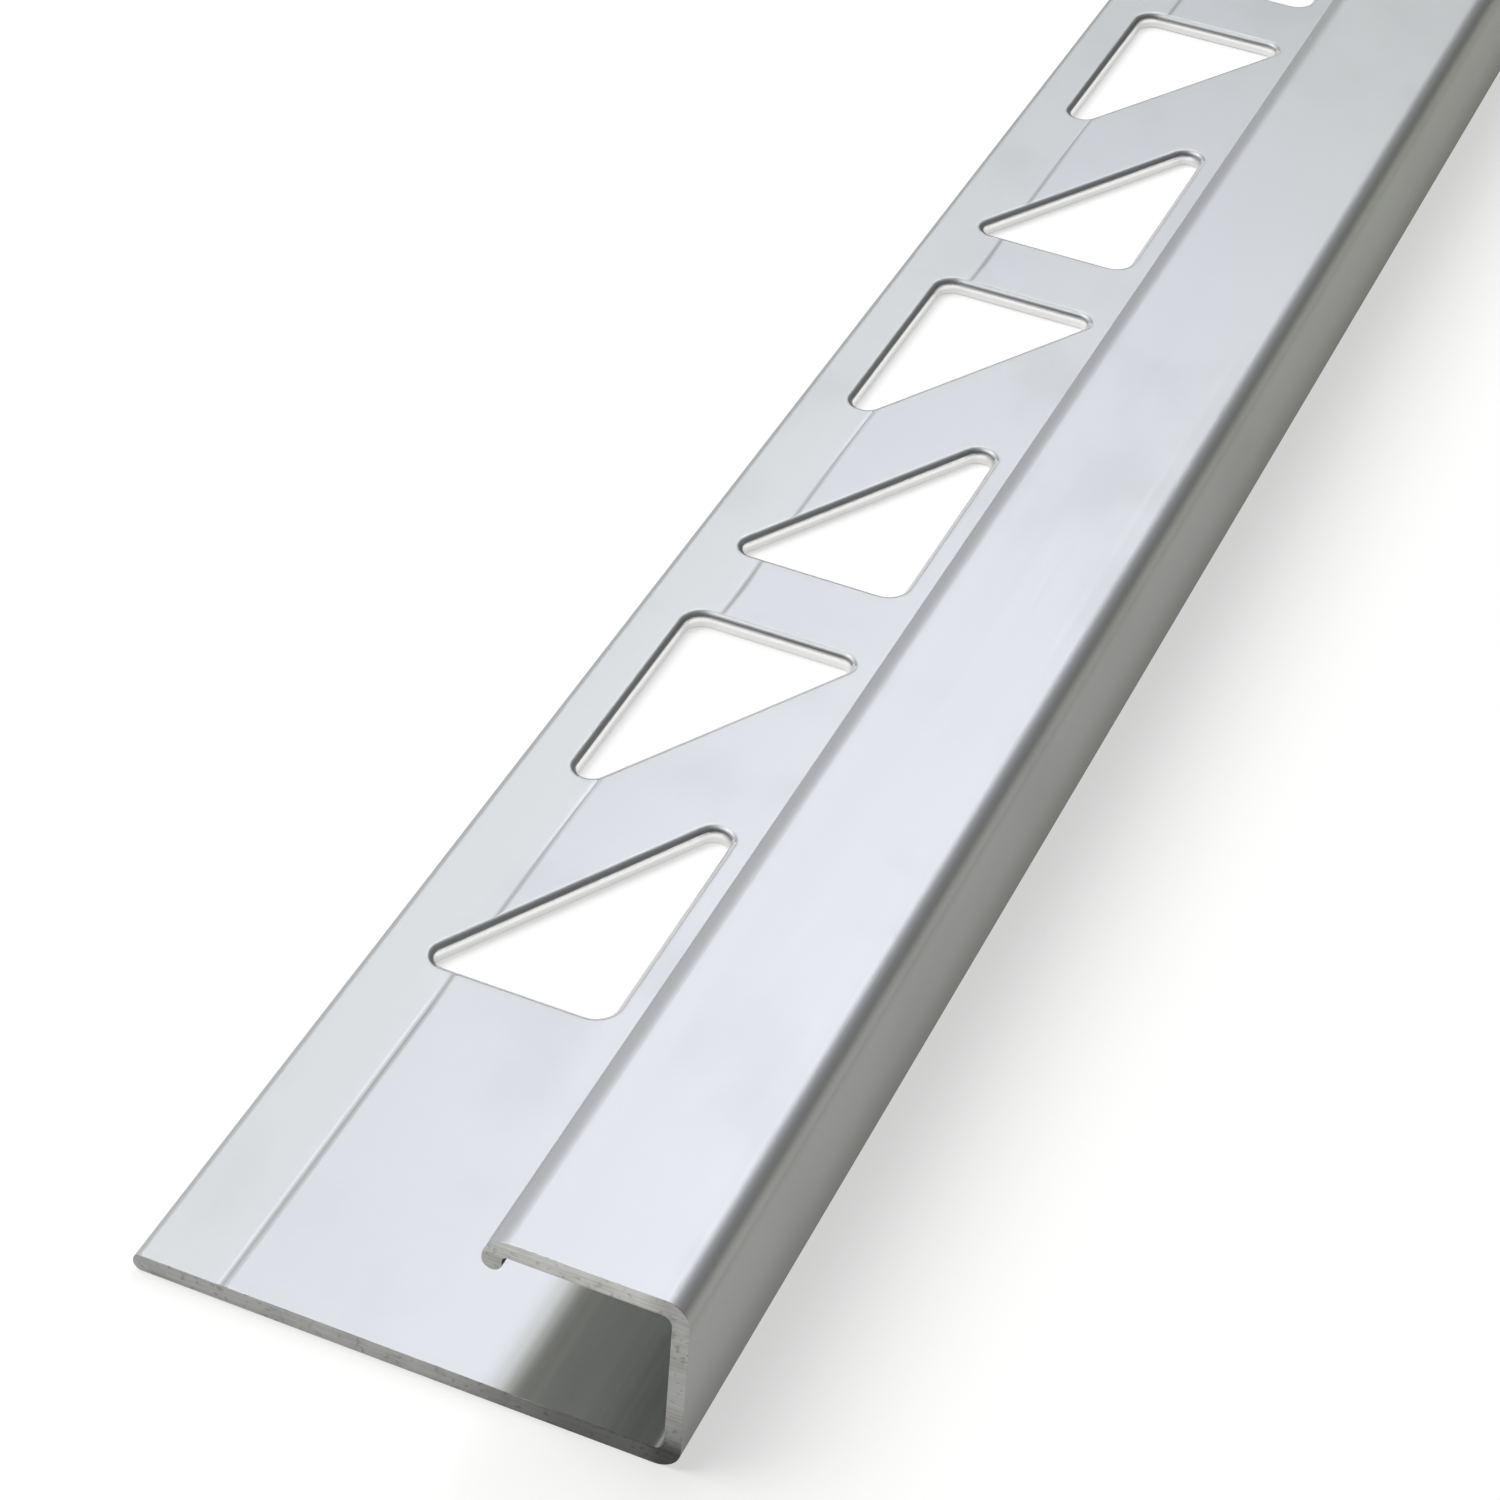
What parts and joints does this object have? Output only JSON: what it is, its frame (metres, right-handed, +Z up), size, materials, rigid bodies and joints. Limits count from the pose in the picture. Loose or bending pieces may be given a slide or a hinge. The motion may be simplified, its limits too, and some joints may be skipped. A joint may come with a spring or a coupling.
{
  "type": "tile edge trim",
  "caption": "Straight square-edge metal tile trim: flat leg punched with triangular holes, an upright wall and a narrow face with a down-turned lip.",
  "frame": {"origin": "under the middle of the bar, on the underside of the leg", "axes": "+Y along the bar, +Z up from the leg's underside to the visible face, +X from the leg's free edge to the wall"},
  "size_m": [0.0264, 1, 0.01],
  "materials": {
    "anodised_aluminium": "satin, natural silver anodised, with fine lines along the bar"
  },
  "bodies": {
    "root": {"trim_profile": "anodised_aluminium"}
  },
  "joints": []
}
